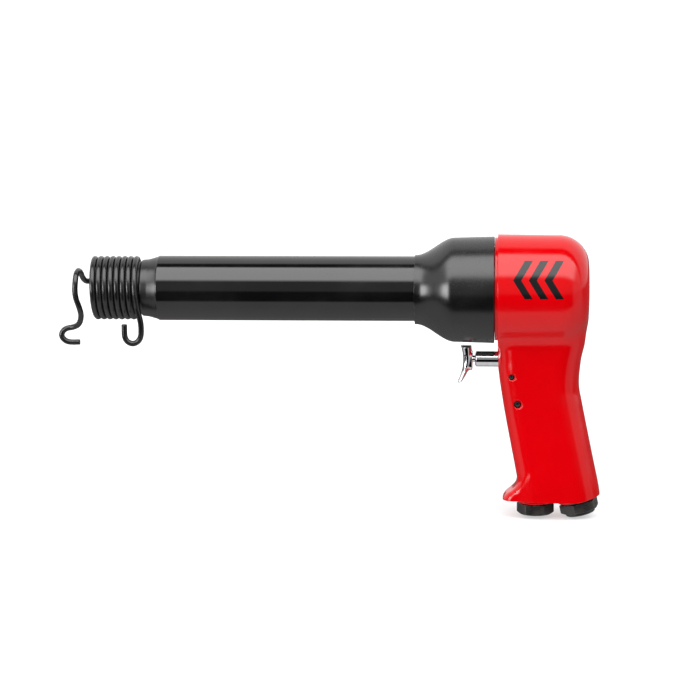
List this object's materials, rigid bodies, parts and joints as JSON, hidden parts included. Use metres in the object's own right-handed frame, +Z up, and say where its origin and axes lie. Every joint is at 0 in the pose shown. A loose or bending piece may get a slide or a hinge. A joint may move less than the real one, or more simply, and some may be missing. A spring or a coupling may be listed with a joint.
{
  "type": "pneumatic air hammer",
  "caption": "Pistol-grip pneumatic air hammer with a long barrel, bell exhaust deflector, chisel retainer spring, finger trigger and an air inlet under the grip.",
  "frame": {"origin": "centre of the flat end of the hexagonal throttle plug under the grip", "axes": "+Z up, away from that end face; -X towards the barrel's nose and +X towards the handle's back; Y = 0 halves the tool"},
  "size_m": [0.3441, 0.07, 0.1809],
  "materials": {
    "red_paint": "glossy paint",
    "black_oxide": "satin black oxide",
    "black_steel": "satin black",
    "chrome": "polished",
    "ground_steel": "ground",
    "spring_steel": "drawn wire",
    "brass": "turned",
    "rubber": "matte",
    "acetal": "satin"
  },
  "bodies": {
    "tool": {"handle": "red_paint", "barrel": "black_oxide", "exhaust_deflector": "black_oxide", "barrel_lock_pin": "ground_steel", "barrel_seal": "rubber", "valve_block": "ground_steel", "valve_cap": "ground_steel", "valve_dowel_pin": "ground_steel", "valve_washer": "spring_steel", "lever_pin": "black_steel", "lever_stop_pin": "black_steel", "throttle_seat": "brass", "throttle_seat_seal": "rubber", "throttle_spring": "spring_steel", "throttle_plug": "black_steel", "throttle_plug_seal": "rubber", "inlet_bushing": "black_steel", "inlet_bushing_seal": "rubber", "inlet_screen": "brass"},
    "trigger": {"trigger": "chrome", "trigger_stem": "chrome", "trigger_stem_seal": "rubber"},
    "lever": {"throttle_lever": "ground_steel"},
    "throttle": {"throttle_valve": "brass", "throttle_valve_seal": "rubber"},
    "piston": {"piston": "ground_steel"},
    "shuttle": {"shuttle_valve": "acetal"},
    "retainer": {"retainer_spring": "black_steel"}
  },
  "joints": [
    {"name": "trigger_press", "type": "slide", "parent": "tool", "child": "trigger", "axis": [1, 0, 0], "range_m": [0, 0.006]},
    {"name": "lever_swing", "type": "hinge", "parent": "tool", "child": "lever", "pos_m": [-0.0117, 0, 0.0728], "axis": [0, 1, 0], "range_deg": [0, 13]},
    {"name": "throttle_lift", "type": "slide", "parent": "tool", "child": "throttle", "axis": [0, 0, -1], "range_m": [0, 0.0027], "deforming": ["throttle_spring"]},
    {"name": "piston_stroke", "type": "slide", "parent": "tool", "child": "piston", "axis": [-1, 0, 0], "range_m": [0, 0.135]},
    {"name": "shuttle_shift", "type": "slide", "parent": "tool", "child": "shuttle", "axis": [1, 0, 0], "range_m": [0, 0.0028]},
    {"name": "retainer_swing", "type": "hinge", "parent": "tool", "child": "retainer", "pos_m": [-0.265, 0, 0.144], "axis": [1, 0, 0], "range_deg": [-30, 30]}
  ],
  "couplings": [
    {"joint": "lever_swing", "follows": "trigger_press", "rad_per_m": 37.6},
    {"joint": "throttle_lift", "follows": "trigger_press", "ratio": 0.44}
  ]
}
